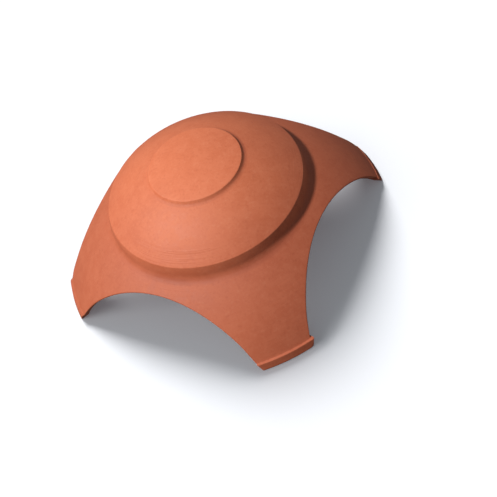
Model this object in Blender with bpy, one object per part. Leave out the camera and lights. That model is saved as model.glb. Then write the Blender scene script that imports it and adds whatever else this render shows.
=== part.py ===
"""Four-way ridge tile of fired clay, one hollow piece that stands on four feet.

The body is a turned shell: a small raised disc on the crown, a domed disc with a stepped rim,
and a skirt that swells down to a low lip on the ground. Four arches on the diagonals cut the
skirt and the lip into four legs along the X and Y axes. Sizes are in metres, +Z is up, and the
origin is on the ground below the crown.
"""

import math

import bmesh
import bpy
from mathutils import Matrix, Vector

# Wall of the shell, square to its surface
WALL = 0.013

# Domed disc: its rim, and the height of its crown above the rim
RIM_RADIUS = 0.150
RIM_HEIGHT = 0.1205
DOME_RISE = 0.0545
RIM_ROUNDING = 0.002

# Step from the rim down to the skirt, with a cove at its foot
RIM_STEP = 0.0185
RIM_DRAFT = 0.0045
RIM_COVE = 0.009

# Small raised disc on the crown, with a cove at the foot of its step
CAP_RADIUS = 0.070
CAP_STEP = 0.004
CAP_RISE = 0.0075
CAP_DRAFT = 0.0025
CAP_ROUNDING = 0.0012
CAP_COVE = 0.008

# Skirt: an arc that swells from the foot of the rim's step to the ground
SKIRT_REACH = 0.264
SKIRT_BULGE_RADIUS = 0.261

# Low lip along the end of each leg: a level ledge, and a face that leans out to the ground
LIP_HEIGHT = 0.013
LIP_LEDGE = 0.0035
LIP_DRAFT = 0.0038
LIP_ROUNDING = 0.0012

# Legs, as wide as this across their feet, and the arches between them, which widen outwards
# as the mould's cores do
LEGS = 4
LEG_WIDTH = 0.077
ARCH_RISE = 0.085
ARCH_SPLAY = math.radians(20)

# Number of straight facets around each round form
TURN_STEPS = 96
ARCH_SIDES = 128

# Number of straight lines along each stretch of the outline
CAP_LINES = 3
DOME_LINES = 6
SKIRT_LINES = 9
VAULT_LINES = 5
ROUNDING_LINES = 2
COVE_LINES = 3

# How far the arch cutters run past the lip
OVERRUN = 0.003

# Points closer than this are welded where the turned outline closes
WELD_DISTANCE = 0.000001

# Share of a step's side that its two roundings may take
ROUNDED_SHARE = 0.9

# Edges sharper than this stay crisp
CRISP_ANGLE = math.radians(35)

CLAY_COLOUR = (0.58, 0.20, 0.115, 1.0)
CLAY_ROUGHNESS = 0.78


class Arc:
    """Arc of the outline, above its centre. Outline points are (radius, height)."""

    def __init__(self, centre, radius):
        self.centre = centre
        self.radius = radius

    def height(self, r):
        return self.centre.y + math.sqrt(self.radius**2 - (r - self.centre.x) ** 2)

    def reach(self, z):
        return self.centre.x + math.sqrt(self.radius**2 - (z - self.centre.y) ** 2)

    def point(self, r):
        return Vector((r, self.height(r)))

    def outwards(self, r):
        """Unit direction of the arc at radius r, away from the axis."""
        sine = (r - self.centre.x) / self.radius
        return Vector((math.sqrt(1 - sine**2), -sine))

    def points(self, start, end, lines):
        """Ends of equal straight lines along the arc, from radius start to radius end."""
        first = math.asin((start - self.centre.x) / self.radius)
        last = math.asin((end - self.centre.x) / self.radius)
        angles = [first + (last - first) * i / lines for i in range(lines + 1)]
        return [self.centre + self.radius * Vector((math.sin(a), math.cos(a))) for a in angles]

    def inside(self, depth):
        """The same arc, nearer to its centre by depth."""
        return Arc(self.centre, self.radius - depth)


def crown_arc(rim_radius, rim_height, rise):
    """Arc centred on the axis, through a rim and a crown that is higher by rise."""
    radius = (rim_radius**2 + rise**2) / (2 * rise)
    return Arc(Vector((0.0, rim_height + rise - radius)), radius)


def swelling_arc(start, end, radius):
    """Arc from start to end that swells outwards."""
    along = (end - start).normalized()
    square = Vector((along.y, -along.x))
    depth = math.sqrt(radius**2 - (end - start).length_squared / 4)
    return Arc((start + end) / 2 + square * depth, radius)


def tangent_length(before, after, radius):
    return radius * math.tan(abs(before.angle_signed(after)) / 2)


def rounding(corner, before, after, radius, lines):
    """Arc of the given radius in the corner between two unit directions."""
    turn = before.angle_signed(after)
    square = Vector((before.y, -before.x)) * math.copysign(1, turn)
    start = corner - before * tangent_length(before, after, radius)
    centre = start + square * radius
    return [
        centre + Matrix.Rotation(-turn * i / lines, 2) @ (start - centre)
        for i in range(lines + 1)
    ]


def rounded_step(first, last, before, after, first_round, last_round):
    """Straight side from first to last, with a rounding (radius, lines) at either end.

    Where the side is too short for both roundings, they shrink together.
    """
    side = (last - first).normalized()
    needed = tangent_length(before, side, first_round[0])
    needed += tangent_length(side, after, last_round[0])
    share = min(1.0, ROUNDED_SHARE * (last - first).length / needed)
    return (
        rounding(first, before, side, first_round[0] * share, first_round[1]),
        rounding(last, side, after, last_round[0] * share, last_round[1]),
    )


DOME = crown_arc(RIM_RADIUS, RIM_HEIGHT, DOME_RISE)
CAP = crown_arc(CAP_RADIUS, DOME.height(CAP_RADIUS) + CAP_STEP, CAP_RISE)
SKIRT = swelling_arc(
    Vector((RIM_RADIUS, RIM_HEIGHT - RIM_STEP)),
    Vector((SKIRT_REACH, 0.0)),
    SKIRT_BULGE_RADIUS,
)

# Outer corner of the lip's ledge, and the foot of its face
LIP_TOP = Vector((SKIRT.reach(LIP_HEIGHT) + LIP_LEDGE, LIP_HEIGHT))
FOOT = Vector((LIP_TOP.x + LIP_DRAFT, 0.0))


def outer_outline():
    """From the axis, over the cap, the dome, the step, the skirt and the lip, to the ground."""
    cap_foot = CAP_RADIUS + CAP_DRAFT
    cap_edge, cap_cove = rounded_step(
        CAP.point(CAP_RADIUS),
        DOME.point(cap_foot),
        CAP.outwards(CAP_RADIUS),
        DOME.outwards(cap_foot),
        (CAP_ROUNDING, ROUNDING_LINES),
        (CAP_COVE, COVE_LINES),
    )
    rim_foot = RIM_RADIUS + RIM_DRAFT
    rim_edge, rim_cove = rounded_step(
        DOME.point(RIM_RADIUS),
        SKIRT.point(rim_foot),
        DOME.outwards(RIM_RADIUS),
        SKIRT.outwards(rim_foot),
        (RIM_ROUNDING, ROUNDING_LINES),
        (RIM_COVE, COVE_LINES),
    )
    face = (FOOT - LIP_TOP).normalized()
    lip_edge = rounding(LIP_TOP, Vector((1.0, 0.0)), face, LIP_ROUNDING, ROUNDING_LINES)
    return (
        CAP.points(0.0, cap_edge[0].x, CAP_LINES)[:-1]
        + cap_edge
        + cap_cove
        + DOME.points(cap_cove[-1].x, rim_edge[0].x, DOME_LINES)[1:-1]
        + rim_edge
        + rim_cove
        + SKIRT.points(rim_cove[-1].x, SKIRT.reach(LIP_HEIGHT), SKIRT_LINES)[1:]
        + lip_edge
        + [FOOT]
    )


def inner_outline():
    """From the ground, up the inside of the skirt, to the axis, one wall deep."""
    lining = SKIRT.inside(WALL)
    vault = DOME.inside(WALL)
    shoulder = RIM_RADIUS - WALL
    foot = lining.reach(0.0)
    below_cove, below_rim = rounded_step(
        lining.point(shoulder),
        vault.point(shoulder),
        -lining.outwards(shoulder),
        -vault.outwards(shoulder),
        (WALL, COVE_LINES),
        (WALL, COVE_LINES),
    )
    return (
        lining.points(foot, below_cove[0].x, SKIRT_LINES)[:-1]
        + below_cove
        + below_rim
        + vault.points(below_rim[-1].x, 0.0, VAULT_LINES)[1:]
    )


def clear_scene():
    for old in list(bpy.data.objects):
        bpy.data.objects.remove(old, do_unlink=True)


def clay():
    material = bpy.data.materials.new("terracotta")
    material.use_nodes = True
    shader = material.node_tree.nodes["Principled BSDF"]
    shader.inputs["Base Color"].default_value = CLAY_COLOUR
    shader.inputs["Roughness"].default_value = CLAY_ROUGHNESS
    return material


def shape_shell(shape):
    """Turn the whole outline about the axis into a closed shell."""
    outline = outer_outline() + inner_outline()
    points = [shape.verts.new((p.x, 0.0, p.y)) for p in outline]
    lines = [shape.edges.new(ends) for ends in zip(points, points[1:])]
    bmesh.ops.spin(
        shape,
        geom=points + lines,
        axis=(0.0, 0.0, 1.0),
        angle=2 * math.pi,
        steps=TURN_STEPS,
        use_merge=True,
    )
    bmesh.ops.remove_doubles(shape, verts=shape.verts, dist=WELD_DISTANCE)


def shape_arch(shape):
    """Cone along +X that meets the skirt at the arch's crown, and the feet on either side."""
    half_gap = math.pi / LEGS - math.asin(LEG_WIDTH / 2 / FOOT.x)
    foot = FOOT.x * Vector((math.cos(half_gap), math.sin(half_gap)))
    crown = SKIRT.reach(ARCH_RISE)
    top = ARCH_RISE + (foot.x - crown) * math.tan(ARCH_SPLAY)
    centre = (top**2 - foot.y**2) / (2 * top)
    inner_end = (RIM_RADIUS - WALL) / 2
    outer_end = FOOT.x + OVERRUN
    cutter = bmesh.ops.create_cone(
        shape,
        cap_ends=True,
        segments=ARCH_SIDES,
        radius1=ARCH_RISE - centre + (inner_end - crown) * math.tan(ARCH_SPLAY),
        radius2=ARCH_RISE - centre + (outer_end - crown) * math.tan(ARCH_SPLAY),
        depth=outer_end - inner_end,
    )
    lie_down = Matrix.Rotation(math.pi / 2, 4, "Y")
    place = Matrix.Translation(((inner_end + outer_end) / 2, 0.0, centre))
    bmesh.ops.transform(shape, matrix=place @ lie_down, verts=cutter["verts"])


def add_object(name, shaper, material=None, turn=0.0):
    """Object turned about the axis, with the mesh that shaper makes, facing outwards."""
    shape = bmesh.new()
    shaper(shape)
    bmesh.ops.recalc_face_normals(shape, faces=shape.faces)
    mesh = bpy.data.meshes.new(name)
    shape.to_mesh(mesh)
    shape.free()
    if material:
        mesh.materials.append(material)
    made = bpy.data.objects.new(name, mesh)
    made.rotation_euler.z = turn
    bpy.context.collection.objects.link(made)
    return made


def cut(body, name, shaper, turn):
    """Cut a helper shape from the body. The helper itself stays hidden."""
    cutter = add_object(name, shaper, turn=turn)
    cutter.hide_render = True
    cutter.display_type = "WIRE"
    step = body.modifiers.new(name, "BOOLEAN")
    step.operation = "DIFFERENCE"
    step.solver = "EXACT"
    step.object = cutter


def main():
    clear_scene()
    tile = add_object("four_way_ridge_tile", shape_shell, clay())
    tile.data.shade_smooth()
    tile.data.set_sharp_from_angle(angle=CRISP_ANGLE)
    quarter = 2 * math.pi / LEGS
    for leg in range(LEGS):
        cut(tile, f"arch_cutter_{leg}", shape_arch, quarter * (leg + 0.5))


main()
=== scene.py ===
"""Looks of the four-way ridge tile: one fine mesh of fired clay on a pale studio floor.

Lengths are in metres in the tile's own frame: +Z up, the crown over the origin, the legs along
the X and Y axes, the feet on z = 0. Points of the outline are (radius, height).
"""

import math

import bmesh
import bpy
import numpy as np
from mathutils import Matrix, Vector, noise


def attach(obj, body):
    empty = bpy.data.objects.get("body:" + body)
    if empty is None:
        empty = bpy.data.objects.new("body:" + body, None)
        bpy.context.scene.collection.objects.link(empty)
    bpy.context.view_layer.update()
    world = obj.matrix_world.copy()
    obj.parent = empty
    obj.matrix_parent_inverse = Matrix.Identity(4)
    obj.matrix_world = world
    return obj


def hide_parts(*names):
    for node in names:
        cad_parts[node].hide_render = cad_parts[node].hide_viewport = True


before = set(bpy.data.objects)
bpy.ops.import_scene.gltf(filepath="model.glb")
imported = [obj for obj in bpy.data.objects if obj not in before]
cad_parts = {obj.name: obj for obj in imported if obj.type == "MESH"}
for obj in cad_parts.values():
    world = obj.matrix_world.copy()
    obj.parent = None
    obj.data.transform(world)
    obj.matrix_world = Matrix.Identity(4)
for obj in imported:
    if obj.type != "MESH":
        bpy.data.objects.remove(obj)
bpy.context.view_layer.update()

MM = 0.001

# Shell, as the solid has it
WALL = 13 * MM
RIM_RADIUS, RIM_HEIGHT, DOME_RISE = 150 * MM, 120.5 * MM, 54.5 * MM
RIM_STEP, RIM_DRAFT = 18.5 * MM, 4.5 * MM
CAP_RADIUS, CAP_STEP, CAP_RISE, CAP_DRAFT = 70 * MM, 4 * MM, 7.5 * MM, 2.5 * MM
SKIRT_REACH, SKIRT_BULGE = 264 * MM, 261 * MM
LIP_HEIGHT, LIP_LEDGE, LIP_DRAFT, LIP_ROUNDING = 13 * MM, 3.5 * MM, 3.8 * MM, 1.2 * MM
LEGS = 4
LEG_WIDTH, ARCH_RISE, ARCH_SPLAY = 77 * MM, 85 * MM, math.radians(20)

# Rounding of each step's edge and cove at its foot, nearer to the photograph than the solid's
RIM_ROUNDING, RIM_COVE = 2.5 * MM, 14 * MM
CAP_ROUNDING, CAP_COVE = 1.6 * MM, 6 * MM

# Edges that the solid has sharp and fired clay has not: the crease above the lip, the lip's
# foot and the inner edge of the sole, as radii
CREASE_COVE, FOOT_ROUNDING, SOLE_ROUNDING = 0.8 * MM, 1.6 * MM, 1 * MM

# How far the rounding reaches from an arch's edge on either face: inside, outside, and outside
# at the lip, with the heights between which the last two pass into each other
INNER_SOFTNESS, OUTER_SOFTNESS, LIP_SOFTNESS = 2 * MM, 3.2 * MM, 1.5 * MM
SOFTER_ABOVE = (15 * MM, 40 * MM)

# Depth of the lip's ledge on the legs along +X, +Y, -X and -Y: less where the lip is worn
LIP_LEDGES = (0.6 * MM, 3.2 * MM, 3.5 * MM, 3.5 * MM)

# The two ends of each leg's lip, anticlockwise end first, for the legs in the same order: how
# far it sticks out past the leg, where the mould closed, and the radius its corner is worn to
LIP_ENDS = (
    ((0.0, 24 * MM), (3.5 * MM, 1.5 * MM)),
    ((0.5 * MM, 3 * MM), (0.0, 5 * MM)),
    ((-1.5 * MM, 1.5 * MM), (0.0, 20 * MM)),
    ((4 * MM, 1.5 * MM), (-1.5 * MM, 4 * MM)),
)

# Number of straight lines across a leg, round each edge of an arch and over its cut face
LEG_COLUMNS = 64
EDGE_LINES, CUT_LINES = 6, 4

# Number of straight lines along each stretch of the outer outline
CAP_LINES, CAP_ROUNDING_LINES, CAP_COVE_LINES = 18, 4, 6
DOME_LINES, RIM_ROUNDING_LINES, RIM_COVE_LINES = 28, 5, 8
STEP_LINES, SHOULDER_LINES, SKIRT_LINES = 4, 8, 52
CREASE_LINES, LEDGE_LINES, LIP_ROUNDING_LINES = 3, 3, 5
LIP_FACE_LINES, FOOT_LINES = 5, 5

# The same for the inner outline
VAULT_LINES, BEND_LINES, LINING_LINES, SOLE_LINES = 24, 6, 5, 5

# Power by which the skirt's lines crowd towards the crown of an arch
SKIRT_CROWDING = 1.7

# Points that the lining is measured by, and halvings in the search for an arch's crown
LINING_SAMPLES, CROWN_HALVINGS = 400, 60

# Points closer than this are welded
WELD = 0.001 * MM

# Unevenness of the hand-finished clay, always inwards of the true surface: the size and depth
# of each wave, and the heights between which they come in, above the flat soles
WAVES = ((90 * MM, 0.35 * MM), (25 * MM, 0.12 * MM))
WAVES_ABOVE = (0.5 * MM, 6 * MM)

# Edges sharper than this stay crisp
CRISP_ANGLE = math.radians(38)


class Arc:
    """Arc of the outline, above its centre."""

    def __init__(self, centre, radius):
        self.centre, self.radius = centre, radius

    def height(self, r):
        return self.centre.y + np.sqrt(self.radius**2 - (r - self.centre.x) ** 2)

    def reach(self, z):
        return self.centre.x + np.sqrt(self.radius**2 - (z - self.centre.y) ** 2)

    def point(self, r):
        return Vector((r, self.height(r)))

    def outwards(self, r):
        """Unit direction of the arc at radius r, away from the axis."""
        sine = (r - self.centre.x) / self.radius
        return Vector((math.sqrt(1 - sine**2), -sine))

    def points(self, start, end, lines):
        """Ends of equal straight lines along the arc, from radius start to radius end."""
        first, last = (math.asin((r - self.centre.x) / self.radius) for r in (start, end))
        angles = np.linspace(first, last, lines + 1)
        return [self.centre + self.radius * Vector((math.sin(a), math.cos(a))) for a in angles]

    def inside(self, depth):
        """The same arc, nearer to its centre by depth."""
        return Arc(self.centre, self.radius - depth)


def crown_arc(rim_radius, rim_height, rise):
    """Arc centred on the axis, through a rim and a crown that is higher by rise."""
    radius = (rim_radius**2 + rise**2) / (2 * rise)
    return Arc(Vector((0.0, rim_height + rise - radius)), radius)


def swelling_arc(start, end, radius):
    """Arc from start to end that swells outwards."""
    along = (end - start).normalized()
    depth = math.sqrt(radius**2 - (end - start).length_squared / 4)
    return Arc((start + end) / 2 + Vector((along.y, -along.x)) * depth, radius)


def rounding(corner, before, after, radius, lines):
    """Arc of the given radius in the corner between two unit directions."""
    turn = before.angle_signed(after)
    square = Vector((before.y, -before.x)) * math.copysign(1, turn)
    start = corner - before * radius * math.tan(abs(turn) / 2)
    centre = start + square * radius
    return [
        centre + Matrix.Rotation(-turn * i / lines, 2) @ (start - centre)
        for i in range(lines + 1)
    ]


def between(start, end, lines):
    """Points that part a straight side into equal lines, without its two ends."""
    return [start.lerp(end, i / lines) for i in range(1, lines)]


def rounded_step(first, last, before, after, first_round, last_round):
    """Straight side between two arcs of the outline, with a rounding (radius, lines) at
    either end."""
    side = (last - first).normalized()
    edge = rounding(first, before, side, *first_round)
    foot = rounding(last, side, after, *last_round)
    return edge + between(edge[-1], foot[0], STEP_LINES) + foot


DOME = crown_arc(RIM_RADIUS, RIM_HEIGHT, DOME_RISE)
CAP = crown_arc(CAP_RADIUS, DOME.height(CAP_RADIUS) + CAP_STEP, CAP_RISE)
SKIRT = swelling_arc(
    Vector((RIM_RADIUS, RIM_HEIGHT - RIM_STEP)), Vector((SKIRT_REACH, 0.0)), SKIRT_BULGE
)
LINING = SKIRT.inside(WALL)
VAULT = DOME.inside(WALL)

# Crease above the lip, outer corner of the ledge where it is not worn, and foot of the face
LEDGE = Vector((SKIRT.reach(LIP_HEIGHT), LIP_HEIGHT))
LIP_TOP = Vector((LEDGE.x + LIP_LEDGE, LIP_HEIGHT))
FOOT = Vector((LIP_TOP.x + LIP_DRAFT, 0.0))


class ArchCone:
    """The cone that cuts an arch: x along its diagonal, y across, z up."""

    def __init__(self):
        gap = math.pi / LEGS - math.asin(LEG_WIDTH / 2 / FOOT.x)
        along, across = FOOT.x * math.cos(gap), FOOT.x * math.sin(gap)
        crown = SKIRT.reach(ARCH_RISE)
        self.slope = math.tan(ARCH_SPLAY)
        top = ARCH_RISE + (along - crown) * self.slope
        self.centre = (top**2 - across**2) / (2 * top)
        self.base = ARCH_RISE - self.centre - crown * self.slope

    def crown_of(self, arc):
        """Height at which the cone's highest line leaves the arc."""
        low, high = 0.0, ARCH_RISE
        for _ in range(CROWN_HALVINGS):
            z = (low + high) / 2
            if z > self.centre + self.base + arc.reach(z) * self.slope:
                high = z
            else:
                low = z
        return low

    def edge(self, outline):
        """Points (x, y, z) where the cone cuts the turned outline, on the side of +y."""
        r, z = outline[:, 0], outline[:, 1]
        a = 1 + self.slope**2
        b = self.slope * self.base
        c = self.base**2 - (z - self.centre) ** 2 - r**2
        x = (-b + np.sqrt(b**2 - a * c)) / a
        y = np.sqrt(np.maximum(r**2 - x**2, 0.0))
        return np.column_stack([x, y, z])

    def normals(self, p):
        """Unit normals of the cut faces, out of the clay and into the arch."""
        rise = p[:, 2] - self.centre
        around = np.hypot(p[:, 1], rise)
        n = np.column_stack([np.full(len(p), self.slope), -p[:, 1] / around, -rise / around])
        return n / math.hypot(1, self.slope)


def smooth_share(value, low, high):
    """Zero up to low, one from high on, and smooth between them."""
    t = np.clip((value - low) / (high - low), 0, 1)
    return t * t * (3 - 2 * t)


def unit(v):
    return v / np.linalg.norm(v, axis=-1, keepdims=True)


def as_array(points):
    return np.array([tuple(p) for p in points])


def lengths_along(points):
    steps = np.linalg.norm(np.diff(points, axis=0), axis=1)
    return np.concatenate([[0.0], np.cumsum(steps)])


def lip_outline(depth):
    """From the crease above the lip, over its ledge and down its face, to the sole."""
    top = Vector((LEDGE.x + depth, LIP_HEIGHT))
    level, face = Vector((1.0, 0.0)), (FOOT - top).normalized()
    crease = rounding(LEDGE, SKIRT.outwards(LEDGE.x), level, CREASE_COVE, CREASE_LINES)
    edge = rounding(top, level, face, LIP_ROUNDING, LIP_ROUNDING_LINES)
    foot = rounding(FOOT, face, -level, FOOT_ROUNDING, FOOT_LINES)
    ledge = between(crease[-1], edge[0], LEDGE_LINES)
    return crease, ledge + edge + between(edge[-1], foot[0], LIP_FACE_LINES) + foot


def leg_outline(crown, ledge):
    """The outer surface from the arch's crown down to the sole, and the share of the lip's
    overhang that each of its points takes."""
    crease, rest = lip_outline(ledge)
    steps = np.linspace(0, 1, SKIRT_LINES + 1)[:-1] ** SKIRT_CROWDING
    heights = crown - (crown - crease[0].y) * steps
    skirt = np.column_stack([SKIRT.reach(heights), heights])
    ramp = np.linspace(0, 1, len(crease))
    share = np.concatenate([np.zeros(len(skirt)), ramp, np.ones(len(rest))])
    return np.vstack([skirt, as_array(crease + rest)]), share


def leg_lining(crown, like):
    """The inner surface from the arch's crown to the sole, in rows that match the outer ones."""
    foot = Vector((LINING.reach(0.0), 0.0))
    level = Vector((1.0, 0.0))
    bend = rounding(foot, LINING.outwards(foot.x), level, SOLE_ROUNDING, SOLE_LINES)
    heights = np.linspace(crown, bend[0].y, LINING_SAMPLES)[:-1]
    line = np.vstack([np.column_stack([LINING.reach(heights), heights]), as_array(bend)])
    along, wanted = lengths_along(line), lengths_along(like)
    wanted = wanted * along[-1] / wanted[-1]
    return np.column_stack([np.interp(wanted, along, line[:, i]) for i in (0, 1)])


def outline_normals(outline, edge, side):
    """Unit normals of the turned surface at the edge's points, out of the clay."""
    run = unit(np.gradient(outline, axis=0))
    heading = unit(edge[:, :2])
    return side * np.column_stack([-run[:, 1:] * heading, run[:, :1]])


def towards_arch(edge, normals, cut):
    """Unit directions in the turned surface, square to the arch's edge, or along the turn
    where the lip is near."""
    square = unit(cut - np.sum(cut * normals, axis=1)[:, None] * normals)
    r = np.hypot(edge[:, 0], edge[:, 1])
    turn = np.column_stack([edge[:, 1] / r, -edge[:, 0] / r, np.zeros(len(r))])
    share = smooth_share(edge[:, 2], *SOFTER_ABOVE)[:, None]
    return unit(square * share + turn * (1 - share))


def turned_by(points, angles):
    """The points turned about the axis, each by its own angle, anticlockwise."""
    cosine, sine = np.cos(angles), np.sin(angles)
    x, y, z = points.T
    return np.column_stack([x * cosine - y * sine, x * sine + y * cosine, z])


def rounded_edge(start, corner, end):
    """Round lines from start to end that bend at the corner."""
    first, last = unit(corner - start), unit(end - corner)
    weight = np.sqrt((1 + np.sum(first * last, axis=1)) / 2)[:, None]
    lines = []
    for t in np.linspace(0, 1, EDGE_LINES + 1):
        shares = ((1 - t) ** 2, 2 * weight * t * (1 - t), t**2)
        lines.append((shares[0] * start + shares[1] * corner + shares[2] * end) / sum(shares))
    return np.stack(lines, axis=1)


def arch_side(cone, ledge, overhang):
    """Half of an arch from its crown to the ground: rows of points from the outer surface,
    round the outer edge, over the cut face and round the inner edge."""
    outline, share = leg_outline(cone.crown_of(SKIRT), ledge)
    lining = leg_lining(cone.crown_of(LINING), outline)
    outer, inner = cone.edge(outline), cone.edge(lining)
    cut = cone.normals(outer)
    outer_way = towards_arch(outer, outline_normals(outline, outer, 1), cut)
    inner_way = towards_arch(inner, outline_normals(lining, inner, -1), cone.normals(inner))
    outer = turned_by(outer, -overhang * share / FOOT.x)
    across = unit(inner - outer)
    soft = smooth_share(outer[:, 2], *SOFTER_ABOVE)[:, None]
    soft = LIP_SOFTNESS + (OUTER_SOFTNESS - LIP_SOFTNESS) * soft
    outer_edge = rounded_edge(outer - outer_way * soft, outer, outer + across * soft)
    inner_edge = rounded_edge(
        inner - across * INNER_SOFTNESS, inner, inner - inner_way * INNER_SOFTNESS
    )
    start, end = outer_edge[:, -1:], inner_edge[:, :1]
    shares = np.linspace(0, 1, CUT_LINES + 1)[1:-1][None, :, None]
    side = np.concatenate([outer_edge, start + (end - start) * shares, inner_edge], axis=1)
    low = np.clip(SOLE_ROUNDING - side[..., 2], 0.0, SOLE_ROUNDING)
    worn = SOLE_ROUNDING - np.sqrt(SOLE_ROUNDING**2 - low**2)
    lines = [turned_by(p, w / FOOT.x) for p, w in zip(side.swapaxes(0, 1), worn.T)]
    return np.stack(lines, axis=1)


def to_polar(points):
    """Radii, angles and heights of the points."""
    x, y, z = np.moveaxis(points, -1, 0)
    return np.hypot(x, y), np.arctan2(y, x), z


def from_polar(r, angle, z):
    return np.stack([r * np.cos(angle), r * np.sin(angle), z], axis=-1)


def rows_across(low, high):
    """Rows across the leg along +X, from low ends to high ones. The ends and the rows are
    arrays of radii, angles and heights."""
    across = np.linspace(0, 1, LEG_COLUMNS + 1)
    return [a[:, None] * (1 - across) + b[:, None] * across for a, b in zip(low, high)]


def add_grid(shape, points):
    rows, columns = points.shape[:2]
    made = [[shape.verts.new(p) for p in row] for row in points]
    for i in range(rows - 1):
        for j in range(columns - 1):
            shape.faces.new((made[i][j], made[i][j + 1], made[i + 1][j + 1], made[i + 1][j]))


def outer_outline(end):
    """From the axis, over the cap, the dome and the rim's step, to the skirt at radius end."""
    cap_foot, rim_foot = CAP_RADIUS + CAP_DRAFT, RIM_RADIUS + RIM_DRAFT
    cap_side = rounded_step(
        CAP.point(CAP_RADIUS), DOME.point(cap_foot),
        CAP.outwards(CAP_RADIUS), DOME.outwards(cap_foot),
        (CAP_ROUNDING, CAP_ROUNDING_LINES), (CAP_COVE, CAP_COVE_LINES),
    )
    rim_side = rounded_step(
        DOME.point(RIM_RADIUS), SKIRT.point(rim_foot),
        DOME.outwards(RIM_RADIUS), SKIRT.outwards(rim_foot),
        (RIM_ROUNDING, RIM_ROUNDING_LINES), (RIM_COVE, RIM_COVE_LINES),
    )
    return (
        CAP.points(0.0, cap_side[0].x, CAP_LINES)[:-1] + cap_side
        + DOME.points(cap_side[-1].x, rim_side[0].x, DOME_LINES)[1:-1] + rim_side
        + SKIRT.points(rim_side[-1].x, end, SHOULDER_LINES)[1:]
    )


def inner_outline(end):
    """From the axis, under the dome and round its shoulder, to the lining at radius end."""
    shoulder = RIM_RADIUS - WALL
    bend = rounded_step(
        VAULT.point(shoulder), LINING.point(shoulder),
        VAULT.outwards(shoulder), LINING.outwards(shoulder),
        (WALL, BEND_LINES), (WALL, BEND_LINES),
    )
    return (
        VAULT.points(0.0, bend[0].x, VAULT_LINES)[:-1] + bend
        + LINING.points(bend[-1].x, end, LINING_LINES)[1:]
    )


def worn_corner(cone, r, angle, z, radius):
    """Radii and angles of points on the leg along +X, with the corner of its foot that is at
    positive angles worn round."""
    edge = cone.edge(np.column_stack([r.ravel(), z.ravel()]))
    cut = (math.pi / LEGS - np.arctan2(edge[:, 1], edge[:, 0])).reshape(r.shape)
    across = np.maximum(radius - r * (cut - angle), 0.0)
    along = np.maximum(radius - (FOOT.x - r), 0.0)
    share = np.minimum(1.0, radius / np.maximum(np.hypot(across, along), WELD))
    inside = (across > 0) & (along > 0)
    r_worn = np.where(inside, FOOT.x - radius + along * share, r)
    angle_worn = np.where(inside, cut - (radius - across * share) / np.maximum(r, WELD), angle)
    return r_worn, angle_worn


def shape_quarter(shape, ledge, ends):
    """A quarter of the shell about the leg along +X, between two arches."""
    cone = ArchCone()
    corner = math.pi / LEGS

    def half_arch(way, overhang):
        """The arch's side at positive angles (way 1) or at negative ones (way -1)."""
        r, angle, z = to_polar(arch_side(cone, ledge, overhang))
        return r, way * (corner - angle), z

    def add(r, angle, z):
        for way, (_, radius) in ((1, ends[0]), (-1, ends[1])):
            r, angle = worn_corner(cone, r, angle * way, z, radius)
            angle = angle * way
        add_grid(shape, from_polar(r, angle, z))

    low, high = half_arch(-1, ends[1][0]), half_arch(1, ends[0][0])
    for outline, line in ((outer_outline, 0), (inner_outline, -1)):
        profile = as_array(outline(high[0][0, line]))[:-1]
        sides = [
            (
                np.concatenate([profile[:, 0], r[:, line]]),
                np.concatenate([np.full(len(profile), way * corner), angle[:, line]]),
                np.concatenate([profile[:, 1], z[:, line]]),
            )
            for way, (r, angle, z) in ((-1, low), (1, high))
        ]
        add(*rows_across(*sides))
    add(*low)
    add(*high)
    add(*rows_across([a[-1] for a in low], [a[-1] for a in high]))


def shape_shell(shape):
    """Four quarters, welded where they meet."""
    for leg in range(LEGS):
        quarter = bmesh.new()
        shape_quarter(quarter, LIP_LEDGES[leg], LIP_ENDS[leg])
        mesh = bpy.data.meshes.new("quarter")
        quarter.to_mesh(mesh)
        quarter.free()
        mesh.transform(Matrix.Rotation(2 * math.pi * leg / LEGS, 4, "Z"))
        shape.from_mesh(mesh)
        bpy.data.meshes.remove(mesh)
    bmesh.ops.remove_doubles(shape, verts=shape.verts, dist=WELD)
    bmesh.ops.dissolve_degenerate(shape, edges=shape.edges, dist=WELD)


def add_object(name, shaper):
    """Object with the mesh that shaper makes, facing outwards."""
    shape = bmesh.new()
    shaper(shape)
    bmesh.ops.recalc_face_normals(shape, faces=shape.faces)
    mesh = bpy.data.meshes.new(name)
    shape.to_mesh(mesh)
    shape.free()
    made = bpy.data.objects.new(name, mesh)
    bpy.context.scene.collection.objects.link(made)
    return made


def make_uneven(mesh):
    """Push the surface in by soft waves, and keep the soles flat."""
    count = len(mesh.vertices)
    points = np.zeros(count * 3)
    mesh.vertices.foreach_get("co", points)
    points = points.reshape(-1, 3)
    normals = np.zeros(count * 3)
    mesh.vertex_normals.foreach_get("vector", normals)
    normals = normals.reshape(-1, 3)
    depth = np.zeros(count)
    for size, amount in WAVES:
        values = np.array([noise.noise(Vector(p) / size) for p in points])
        depth += amount * (0.5 + 0.5 * values)
    depth *= smooth_share(points[:, 2], *WAVES_ABOVE)
    points -= normals * depth[:, None]
    mesh.vertices.foreach_set("co", points.ravel())
    mesh.update()


def make_tile():
    tile = add_object("fired_clay_tile", shape_shell)
    make_uneven(tile.data)
    tile.data.shade_smooth()
    tile.data.set_sharp_from_angle(angle=CRISP_ANGLE)
    tile.data.materials.append(make_material("terracotta", Clay))
    return tile


# Sockets that a Mix node uses for colours, by their place because their names repeat
MIX_SHARE, MIX_A, MIX_B, MIX_RESULT = 0, 6, 7, 2


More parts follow.
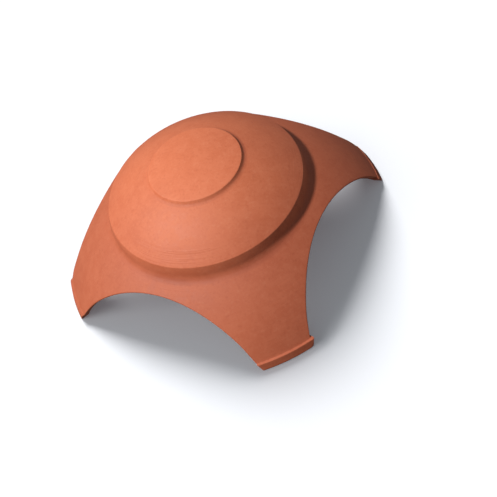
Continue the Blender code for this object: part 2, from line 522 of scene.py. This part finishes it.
class Nodes:
    """Short way to write the nodes of a material or a world."""

    def __init__(self, tree):
        self.tree = tree

    def set(self, socket, value):
        if isinstance(value, bpy.types.NodeSocket):
            self.tree.links.new(value, socket)
        else:
            socket.default_value = value

    def add(self, kind, inputs=(), output=0, **settings):
        """Output of a new node."""
        node = self.tree.nodes.new("ShaderNode" + kind)
        for key, value in settings.items():
            setattr(node, key, value)
        for key, value in dict(inputs).items():
            self.set(node.inputs[key], value)
        return node.outputs[output]

    def end_in(self, name, inputs):
        """Set the inputs of a node that the tree has from the start."""
        for key, value in inputs.items():
            self.set(self.tree.nodes[name].inputs[key], value)

    def math(self, operation, a, b=0.0):
        return self.add("Math", {0: a, 1: b}, operation=operation)

    def vector(self, operation, inputs, output="Vector"):
        return self.add("VectorMath", inputs, output, operation=operation)

    def noise(self, where, scale, detail, roughness):
        return self.add(
            "TexNoise",
            {"Vector": where, "Scale": scale, "Detail": detail, "Roughness": roughness},
        )

    def spread(self, value, low, high, to_low=0.0, to_high=1.0):
        """The value's way from low to high, smoothed, as one from to_low to to_high."""
        given = {"Value": value, "From Min": low, "From Max": high}
        wanted = {"To Min": to_low, "To Max": to_high}
        return self.add("MapRange", {**given, **wanted}, interpolation_type="SMOOTHSTEP")

    def blend(self, share, a, b, mode="MIX"):
        node = self.tree.nodes.new("ShaderNodeMix")
        node.data_type, node.blend_type = "RGBA", mode
        for key, value in ((MIX_SHARE, share), (MIX_A, a), (MIX_B, b)):
            self.set(node.inputs[key], value)
        return node.outputs[MIX_RESULT]


def make_material(name, finish):
    """Material with the nodes that finish writes."""
    material = bpy.data.materials.new(name)
    material.use_nodes = True
    finish(material.node_tree)
    return material


CLAY = (0.67, 0.176, 0.075, 1.0)
CLAY_DEEP = (0.51, 0.118, 0.050, 1.0)
CLAY_PALE = (0.74, 0.222, 0.105, 1.0)
CLAY_DUST = (0.74, 0.27, 0.14, 1.0)
# Colour of the painted shade in the coves below the rim and the small disc
CLAY_COVE_SHADE = (0.31, 0.068, 0.030, 1.0)
CLAY_ROUGHNESS, CLAY_SPECULAR = (0.60, 0.66), 0.4

# Noises of the clay, each as its scale, detail and roughness
CLOUD_NOISE, MOTTLE_NOISE = (8.0, 4.0, 0.55), (70.0, 4.0, 0.65)
PIT_NOISE, GRAIN_NOISE = (260.0, 2.0, 0.5), (900.0, 3.0, 0.7)

# Middle of a noise's values
NOISE_MIDDLE = 0.5

# Deeper clouds and paler mottling: the noise's values between which each comes in, and its
# share of the colour
CLOUD_RANGE, CLOUD_SHARE = (0.35, 0.65), 0.30
MOTTLE_RANGE, MOTTLE_SHARE = (0.38, 0.62), 0.34

# Speckles of the pits and the grain: the noise's values between which each kind comes in, its
# share of the colour at the second, and its own colour
PIT_SPECKLES = ((0.55, 0.72, 0.22, CLAY_DUST), (0.45, 0.28, 0.26, CLAY_DEEP))
GRAIN_SPECKLES = ((0.60, 0.74, 0.30, CLAY_DUST), (0.40, 0.28, 0.30, CLAY_DEEP))

# Painted shade, each tint with the radii between which it comes in: the dome is a little darker
# than the small disc and darkens to its rim, and the skirt is darker again
PAINTED_SLOPE_SHADES = (
    ((0.93, 0.92, 0.92, 1.0), 70 * MM, 73 * MM),
    ((0.93, 0.90, 0.90, 1.0), 95 * MM, 145 * MM),
    ((0.81, 0.775, 0.77, 1.0), 150.5 * MM, 154 * MM),
)

# Painted shade: the +X side, away from the key light, is darker too: its colour, and how far on
# either side of the axis this comes in
PAINTED_SIDE_SHADE, PAINTED_SIDE_SHADE_REACH = (0.82, 0.80, 0.80, 1.0), 125 * MM

# Patch of concentric tool marks by the dome's rim: its middle's azimuth, half its angle across
# where it ends and where it is full, and its radii
MARKS_AZIMUTH = math.radians(-128)
MARKS_FADE, MARKS_FULL = math.radians(40), math.radians(14)
MARKS_RADII = (122 * MM, 133 * MM, 147 * MM, 149.5 * MM)

# The marks' streaks: their pitch along the radius, their changes in each radian of the turn,
# their noise, and the strength of their colour
MARKS_PITCH, MARKS_TURN = 1.9 * MM, 1.6
MARKS_NOISE = (1.0, 2.0, 0.6)
MARKS_COLOUR = 1.3

# Fainter marks in patches all over: the patches' noise, its values between which they come in,
# and the marks' share outside and inside them
FAINT_NOISE = (14.0, 2.0, 0.55)
FAINT_RANGE, FAINT_SHARES = (0.50, 0.70), (0.05, 0.30)

# Painted shade in the coves at the foot of the rim's step and of the small disc's, on the side
# away
# from the key light: its radii, the azimuth that it is strongest at, the cosines of the angles
# from there where it ends and where it is full, and its share of the colour outside and inside the
# clouds
RIM_PAINTED_SHADE = (153 * MM, 156.5 * MM, 159.5 * MM, 165 * MM)
CAP_PAINTED_SHADE = (70.5 * MM, 72.5 * MM, 74.5 * MM, 78 * MM)
COVE_SHADE_AZIMUTH, COVE_SHADE_NONE, COVE_SHADE_FULL = math.radians(-40), -0.7, 0.1
COVE_SHADE_SHARES = (0.25, 0.6)

# Height of the relief of the grain, the pits, the tool marks and the mottling, in parts of its
# depth, and the noise's values between which a pit rises to the surface
GRAIN_RELIEF, PIT_RELIEF, MARKS_RELIEF, MOTTLE_RELIEF = 0.10, 0.12, 1.9, 0.05
PIT_RANGE = (0.30, 0.44)
RELIEF_DEPTH, RELIEF_STRENGTH = 1 * MM, 0.5


class Clay(Nodes):
    """The tile's clay, which follows each point's place, and its radius and way from the axis."""

    def __init__(self, tree):
        super().__init__(tree)
        self.place = self.add("TexCoord", output="Object")
        flat = self.vector("MULTIPLY", {0: self.place, 1: (1.0, 1.0, 0.0)})
        self.radius = self.vector("LENGTH", {0: flat}, "Value")
        self.heading = self.vector("NORMALIZE", {0: flat})
        self.clouds = self.spread(self.noise(self.place, *CLOUD_NOISE), *CLOUD_RANGE)
        self.mottle = self.spread(self.noise(self.place, *MOTTLE_NOISE), *MOTTLE_RANGE)
        self.pits = self.noise(self.place, *PIT_NOISE)
        self.grain = self.noise(self.place, *GRAIN_NOISE)
        self.marks = self.tool_marks()
        self.end_in("Principled BSDF", {
            "Base Color": self.colour(),
            "Roughness": self.spread(self.mottle, 0.0, 1.0, *CLAY_ROUGHNESS),
            "Specular IOR Level": CLAY_SPECULAR,
            "Normal": self.relief(),
        })

    def band(self, radii):
        """One between the middle two of four radii, and zero outside them all."""
        inner = self.spread(self.radius, *radii[:2])
        return self.math("MULTIPLY", inner, self.spread(self.radius, *radii[2:], 1.0, 0.0))

    def facing(self, azimuth):
        """Cosine of the angle, about the axis, from an azimuth."""
        way = (math.cos(azimuth), math.sin(azimuth), 0.0)
        return self.vector("DOT_PRODUCT", {0: self.heading, 1: way}, "Value")

    def tool_marks(self):
        """Streaks that run round the axis, slow along the turn and quick along the radius, in
        the patch by the dome's rim and fainter elsewhere."""
        slow = self.vector("SCALE", {0: self.heading, "Scale": MARKS_TURN})
        quick = self.add("CombineXYZ", {"Z": self.math("DIVIDE", self.radius, MARKS_PITCH)})
        streaks = self.noise(self.vector("ADD", {0: slow, 1: quick}), *MARKS_NOISE)
        patch = self.spread(self.facing(MARKS_AZIMUTH), math.cos(MARKS_FADE), math.cos(MARKS_FULL))
        patch = self.math("MULTIPLY", patch, self.band(MARKS_RADII))
        faint = self.spread(self.noise(self.place, *FAINT_NOISE), *FAINT_RANGE, *FAINT_SHARES)
        share = self.math("MAXIMUM", patch, faint)
        return self.math("MULTIPLY", self.math("SUBTRACT", streaks, NOISE_MIDDLE), share)

    # Painted shade in the coves, strongest on the side away from the key light
    def cove_shade(self):
        coves = self.math("MAXIMUM", self.band(RIM_PAINTED_SHADE), self.band(CAP_PAINTED_SHADE))
        side = self.spread(self.facing(COVE_SHADE_AZIMUTH), COVE_SHADE_NONE, COVE_SHADE_FULL)
        share = self.spread(self.clouds, 0.0, 1.0, *COVE_SHADE_SHARES)
        return self.math("MULTIPLY", self.math("MULTIPLY", coves, side), share)

    def colour(self):
        shade = self.blend(self.math("MULTIPLY", self.clouds, CLOUD_SHARE), CLAY, CLAY_DEEP)
        shade = self.blend(self.math("MULTIPLY", self.mottle, MOTTLE_SHARE), shade, CLAY_PALE)
        for source, speckles in ((self.pits, PIT_SPECKLES), (self.grain, GRAIN_SPECKLES)):
            for start, end, share, speckle in speckles:
                shade = self.blend(self.spread(source, start, end, 0.0, share), shade, speckle)
        # Painted shade that darkens the colour down the dome and over the skirt
        for tint, start, end in PAINTED_SLOPE_SHADES:
            shade = self.blend(self.spread(self.radius, start, end), shade, tint, "MULTIPLY")
        # Painted shade: darker towards +X, the side away from the key light
        x = self.add("SeparateXYZ", {0: self.place})
        side = self.spread(x, -PAINTED_SIDE_SHADE_REACH, PAINTED_SIDE_SHADE_REACH)
        shade = self.blend(side, shade, PAINTED_SIDE_SHADE, "MULTIPLY")
        # Painted shade in the coves at the foot of the two steps
        shade = self.blend(self.cove_shade(), shade, CLAY_COVE_SHADE)
        marks = self.math("MULTIPLY", self.math("ABSOLUTE", self.marks), MARKS_COLOUR)
        return self.blend(marks, shade, CLAY_DEEP)

    def relief(self):
        height = self.math("MULTIPLY", self.grain, GRAIN_RELIEF)
        for source, share in (
            (self.spread(self.pits, *PIT_RANGE), PIT_RELIEF),
            (self.marks, MARKS_RELIEF),
            (self.mottle, MOTTLE_RELIEF),
        ):
            height = self.math("ADD", height, self.math("MULTIPLY", source, share))
        depth = {"Strength": RELIEF_STRENGTH, "Distance": RELIEF_DEPTH}
        return self.add("Bump", {"Height": height, **depth})


# The floor glows a little, so that the shadow under the tile is a mid grey
FLOOR_COLOUR, FLOOR_ROUGHNESS = (0.89, 0.90, 0.93, 1.0), 0.9
FLOOR_GLOW_COLOUR, FLOOR_GLOW = (0.70, 0.86, 1.0, 1.0), 0.075
FLOOR_SIDE = 24.0

# Distant lights, each as azimuth, elevation and spread in degrees, and strength. The key is on
# the tile alone, and the others, which give the soft shadow on the ground, are on the floor alone.
KEY_LIGHT = (179, 58.5, 7, 3.85)
BACK_LIGHT = (98, 37, 28, 4.2)
LEFT_LIGHT = (178, 28, 40, 0.95)

# Dim light from all around: at the horizon, overhead and from below. The backdrop is what the
# camera sees past the floor.
SKY_HORIZON, SKY_ZENITH, SKY_BELOW = 0.47, 0.08, 0.11
SKY_COLOUR, BACKDROP_COLOUR = (0.97, 0.98, 1.0, 1.0), (1.0, 1.0, 1.0, 1.0)


def floor_finish(tree):
    Nodes(tree).end_in("Principled BSDF", {
        "Base Color": FLOOR_COLOUR,
        "Roughness": FLOOR_ROUGHNESS,
        "Specular IOR Level": 0.0,
        "Emission Color": FLOOR_GLOW_COLOUR,
        "Emission Strength": FLOOR_GLOW,
    })


def make_floor():
    """The floor. It throws no light back onto the tile: the sky's lower half lights the tile
    from below instead."""
    bpy.ops.mesh.primitive_plane_add(size=FLOOR_SIDE)
    floor = bpy.context.object
    floor.name = "studio_floor"
    floor.data.materials.append(make_material("studio_floor", floor_finish))
    floor.visible_diffuse = False
    floor.visible_glossy = False
    floor.visible_shadow = False
    return floor


def direction(azimuth, elevation):
    """Unit vector from the origin, azimuth counted from +X towards +Y."""
    level = math.cos(elevation)
    return Vector((level * math.cos(azimuth), level * math.sin(azimuth), math.sin(elevation)))


def make_light(name, azimuth, elevation, spread, strength, lit):
    """Distant light that falls on one object only."""
    lamp = bpy.data.lights.new(name, "SUN")
    lamp.energy, lamp.angle = strength, math.radians(spread)
    light = bpy.data.objects.new(name, lamp)
    way = direction(math.radians(azimuth), math.radians(elevation))
    light.rotation_euler = way.to_track_quat("Z", "Y").to_euler()
    bpy.context.scene.collection.objects.link(light)
    receivers = bpy.data.collections.new("lit_by_" + name)
    receivers.objects.link(lit)
    light.light_linking.receiver_collection = receivers


def make_sky():
    """Dim light from all around, and a pale backdrop where the camera looks past the floor."""
    world = bpy.data.worlds.new("studio")
    world.use_nodes = True
    n = Nodes(world.node_tree)
    rise = n.add("SeparateXYZ", {0: n.add("TexCoord", output="Generated")}, "Z")
    upper = n.add("MapRange", {"Value": rise, "To Min": SKY_HORIZON, "To Max": SKY_ZENITH})
    above = n.math("GREATER_THAN", rise)
    strength = n.add("Mix", {"Factor": above, "A": SKY_BELOW, "B": upper}, "Result")
    n.end_in("Background", {"Color": SKY_COLOUR, "Strength": strength})
    sky = n.tree.nodes["Background"].outputs[0]
    backdrop = n.add("Background", {"Color": BACKDROP_COLOUR})
    by_camera = n.add("LightPath", output="Is Camera Ray")
    shown = n.add("MixShader", {0: by_camera, 1: sky, 2: backdrop})
    n.end_in("World Output", {"Surface": shown})
    bpy.context.scene.world = world


# Camera, at the photograph's view: its turn, its place from the middle of the rim's plane, and
# its lens and sensor in millimetres
CAMERA_AZIMUTH = math.radians(-3.139)
CAMERA_ELEVATION = math.radians(51.37)
CAMERA_ROLL = math.radians(-22.746)
CAMERA_DISTANCE, CAMERA_RIGHT, CAMERA_UP = 1215.4 * MM, 66.3 * MM, -95.2 * MM
CAMERA_LENS, CAMERA_SENSOR = 59.44, 36.0


def make_camera():
    """Camera that looks along +Y at azimuth zero, and is turned, rolled and then moved."""
    back = direction(CAMERA_AZIMUTH - math.pi / 2, CAMERA_ELEVATION)
    level = Vector((math.cos(CAMERA_AZIMUTH), math.sin(CAMERA_AZIMUTH), 0.0))
    upright = back.cross(level)
    right = level * math.cos(CAMERA_ROLL) + upright * math.sin(CAMERA_ROLL)
    up = upright * math.cos(CAMERA_ROLL) - level * math.sin(CAMERA_ROLL)
    lens = bpy.data.cameras.new("camera")
    lens.lens, lens.sensor_width = CAMERA_LENS, CAMERA_SENSOR
    camera = bpy.data.objects.new("camera", lens)
    pivot = Vector((0.0, 0.0, RIM_HEIGHT))
    place = pivot + back * CAMERA_DISTANCE + right * CAMERA_RIGHT + up * CAMERA_UP
    turn = Matrix((right, up, back)).transposed().to_4x4()
    camera.matrix_world = Matrix.Translation(place) @ turn
    bpy.context.scene.collection.objects.link(camera)
    bpy.context.scene.camera = camera


make_camera()
tile = make_tile()
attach(tile, "root")
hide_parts("four_way_ridge_tile")
floor = make_floor()
make_light("key", *KEY_LIGHT, tile)
make_light("back", *BACK_LIGHT, floor)
make_light("left", *LEFT_LIGHT, floor)
make_sky()
bpy.context.scene.view_settings.view_transform = "Standard"
